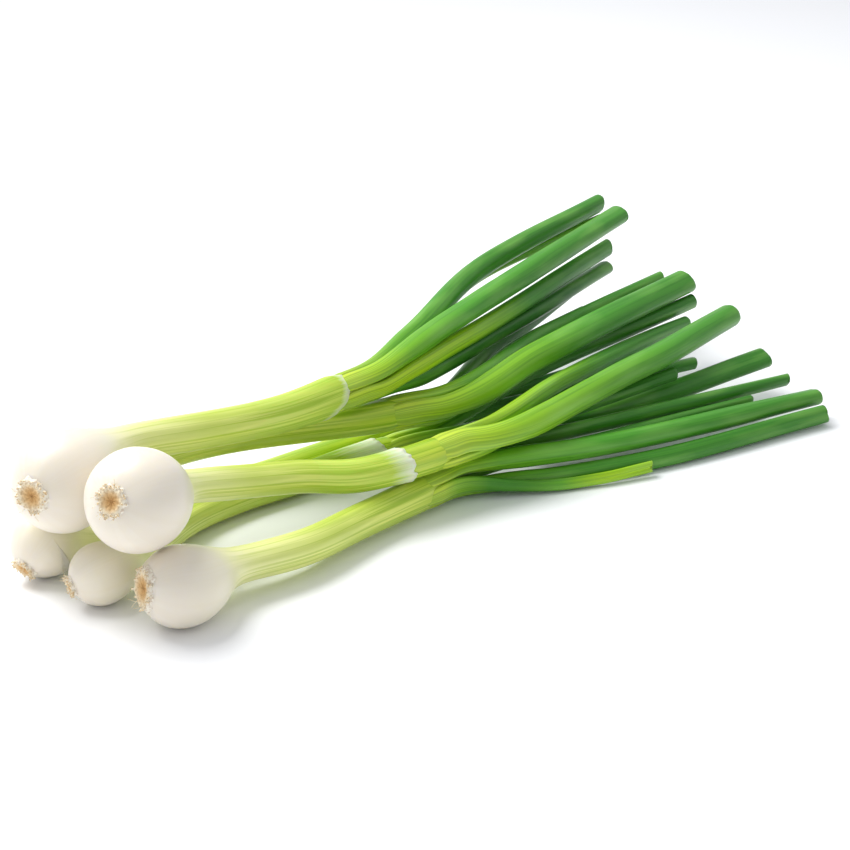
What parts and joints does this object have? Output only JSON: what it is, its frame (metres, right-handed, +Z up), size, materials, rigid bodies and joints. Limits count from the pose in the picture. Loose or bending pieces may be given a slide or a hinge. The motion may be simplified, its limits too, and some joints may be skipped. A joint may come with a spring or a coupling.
{
  "type": "spring onion bunch",
  "caption": "Loose bunch of trimmed spring onions lying flat: round bulbs with root plates, slim shafts, and hollow leaves that fan out to level cut tips.",
  "frame": {"origin": "middle of the bunch's footprint, on the surface that it lies on", "axes": "+X from the bulbs to the cut leaf tips, +Y across the bunch, +Z up from the surface"},
  "size_m": [0.368, 0.1608, 0.0649],
  "materials": {
    "bulb_and_shaft": "satin, waxy flesh: white bulb passing to pale yellow-green shaft",
    "root_plate": "dry, corky and fibrous",
    "leaf": "satin, waxy green skin with fine lengthwise veins"
  },
  "bodies": {
    "root": {"onion_1_bulb_and_shaft": "bulb_and_shaft", "onion_1_root_plate": "root_plate", "onion_1_leaf_1": "leaf", "onion_1_leaf_2": "leaf", "onion_1_leaf_3": "leaf", "onion_1_leaf_4": "leaf", "onion_1_leaf_5": "leaf", "onion_2_bulb_and_shaft": "bulb_and_shaft", "onion_2_root_plate": "root_plate", "onion_2_leaf_1": "leaf", "onion_2_leaf_2": "leaf", "onion_2_leaf_3": "leaf", "onion_2_leaf_4": "leaf", "onion_3_bulb_and_shaft": "bulb_and_shaft", "onion_3_root_plate": "root_plate", "onion_3_leaf_1": "leaf", "onion_3_leaf_2": "leaf", "onion_3_leaf_3": "leaf", "onion_4_bulb_and_shaft": "bulb_and_shaft", "onion_4_root_plate": "root_plate", "onion_4_leaf_1": "leaf", "onion_4_leaf_2": "leaf", "onion_5_bulb_and_shaft": "bulb_and_shaft", "onion_5_root_plate": "root_plate", "onion_5_leaf_1": "leaf", "onion_5_leaf_2": "leaf", "onion_6_bulb_and_shaft": "bulb_and_shaft", "onion_6_root_plate": "root_plate", "onion_6_leaf_1": "leaf", "onion_6_leaf_2": "leaf", "onion_6_leaf_3": "leaf", "onion_6_leaf_4": "leaf", "onion_6_leaf_5": "leaf"}
  },
  "joints": []
}
